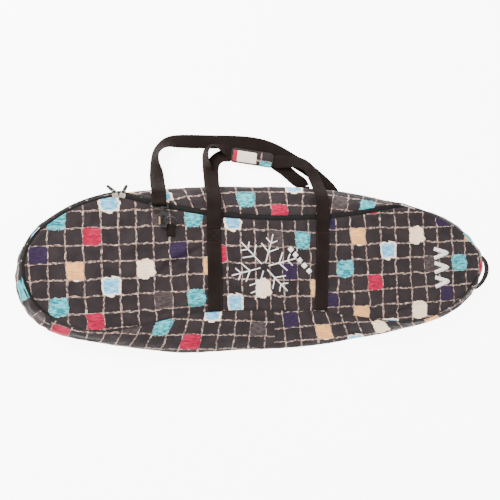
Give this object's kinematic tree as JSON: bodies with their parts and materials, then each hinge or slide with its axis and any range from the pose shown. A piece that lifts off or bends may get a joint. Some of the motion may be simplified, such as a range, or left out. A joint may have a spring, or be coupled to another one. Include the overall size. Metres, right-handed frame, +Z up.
{
  "type": "snowboard bag",
  "caption": "Long padded board bag with gusset, curved two-way zipper, webbing carry handles joined by a wrap, clip-on shoulder strap and end haul loop.",
  "frame": {"origin": "middle of the back panel's outer face, which the bag rests on", "axes": "+X along the bag towards the narrow end with the haul loop, +Y across it towards the zipped side and the handles, +Z up out of the front panel"},
  "size_m": [1.3634, 0.6084, 0.0971],
  "materials": {
    "print": "hand-drawn grid print on dark polyester weave",
    "lining": "plain grey woven lining",
    "foam": "closed-cell padding foam",
    "back_fabric": "heavy dark woven polyester",
    "webbing": "black polypropylene webbing",
    "zip_tape": "black knitted zipper tape",
    "zip_coil": "black nylon coil",
    "nickel": "bright nickel plate",
    "pull_rubber": "soft black moulded grip",
    "hook_plastic": "black moulded snap hook",
    "black_steel": "black coated wire",
    "gate_brass": "brushed brass spring gate",
    "closure": "hook-and-loop tape",
    "card": "plain cream card",
    "card_edge": "red edge strip"
  },
  "bodies": {
    "shell": {"back_panel": "back_fabric", "back_foam": "foam", "back_lining": "lining", "back_handle_leg_left": "webbing", "back_handle_leg_right": "webbing", "strap_tail_right": "webbing", "gusset_panel": "print", "front_panel_hem": "print", "zip_tape_gusset": "zip_tape", "zip_coil_gusset": "zip_coil", "zip_end_tab_left": "webbing", "zip_end_tab_right": "webbing", "haul_anchor_upper": "webbing", "haul_anchor_lower": "webbing"},
    "flap": {"front_panel": "print", "front_foam": "foam", "front_lining": "lining", "zip_tape_flap": "zip_tape", "zip_coil_flap": "zip_coil", "front_handle_leg_left": "webbing", "front_handle_leg_right": "webbing", "d_ring_tab": "webbing", "strap_end_left": "webbing", "hook_base_ring": "black_steel"},
    "slider_left": {"slider_body_left": "nickel"},
    "slider_right": {"slider_body_right": "nickel"},
    "pull_left": {"pull_ring_left": "nickel", "pull_grip_left": "pull_rubber"},
    "pull_right": {"pull_ring_right": "nickel", "pull_grip_right": "pull_rubber"},
    "front_handle": {"front_handle_loop": "webbing", "wrap_base": "print", "wrap_hook_strip": "closure"},
    "wrap_cover": {"wrap_flap": "print", "wrap_loop_strip": "closure", "id_card": "card", "id_edge_strip": "card_edge"},
    "back_handle": {"back_handle_loop": "webbing"},
    "strap": {"shoulder_strap": "webbing"},
    "ring": {"d_ring": "black_steel"},
    "hook": {"hook_body": "hook_plastic"},
    "gate": {"hook_gate": "gate_brass"},
    "haul": {"haul_loop": "webbing"}
  },
  "joints": [
    {"name": "flap_fold", "type": "hinge", "parent": "shell", "child": "flap", "pos_m": [0, -0.098, 0.074], "axis": [1, 0, 0], "range_deg": [0, 165]},
    {"name": "slider_left_run", "type": "hinge", "parent": "shell", "child": "slider_left", "pos_m": [-0.38, -0.12, 0.068], "axis": [0, 0, 1], "range_deg": [0, 35]},
    {"name": "slider_right_run", "type": "hinge", "parent": "shell", "child": "slider_right", "pos_m": [0.06, 1.736, 0.068], "axis": [0, 0, 1], "range_deg": [0, 25]},
    {"name": "pull_left_swing", "type": "hinge", "parent": "slider_left", "child": "pull_left", "pos_m": [-0.41895, 0.20467, 0.0742], "axis": [0.9929, 0.1191, 0], "range_deg": [-3, 150]},
    {"name": "pull_right_swing", "type": "hinge", "parent": "slider_right", "child": "pull_right", "pos_m": [-0.40139, 0.20397, 0.0742], "axis": [0.9575, -0.2884, 0], "range_deg": [-3, 150]},
    {"name": "front_handle_swing", "type": "hinge", "parent": "flap", "child": "front_handle", "pos_m": [-0.172, 0.118, 0.0732], "axis": [0.9988, -0.0491, 0], "range_deg": [0, 140]},
    {"name": "wrap_open", "type": "hinge", "parent": "front_handle", "child": "wrap_cover", "pos_m": [-0.04866, 0.29479, 0.0094], "axis": [0.9895, -0.1444, 0], "range_deg": [0, 115]},
    {"name": "back_handle_swing", "type": "hinge", "parent": "shell", "child": "back_handle", "pos_m": [-0.03, 0.2348, 0.002], "axis": [1, 0, 0], "range_deg": [0, 85]},
    {"name": "strap_swing", "type": "hinge", "parent": "flap", "child": "strap", "pos_m": [-0.311, 0.191, 0.0812], "axis": [0.985, 0.084, -0.1508], "range_deg": [0, 80]},
    {"name": "d_ring_swing", "type": "hinge", "parent": "flap", "child": "ring", "pos_m": [-0.2845, 0.1245, 0.0746], "axis": [1, 0, 0], "range_deg": [-3, 8]},
    {"name": "hook_swivel", "type": "hinge", "parent": "flap", "child": "hook", "pos_m": [-0.303, 0.15, 0.0822], "axis": [0, 1, 0], "range_deg": [-5, 5]},
    {"name": "gate_open", "type": "hinge", "parent": "hook", "child": "gate", "pos_m": [-0.3116, 0.1459, 0.0822], "axis": [0, 0, 1], "range_deg": [0, 20], "stiffness_Nm_per_rad": 0.02},
    {"name": "haul_loop_swing", "type": "hinge", "parent": "shell", "child": "haul", "pos_m": [0.672, 0.01, 0.021], "axis": [-0.2616, -0.9652, 0], "range_deg": [-10, 44]}
  ],
  "couplings": [
    {"joint": "back_handle_swing", "follows": "front_handle_swing", "ratio": 0.6}
  ]
}
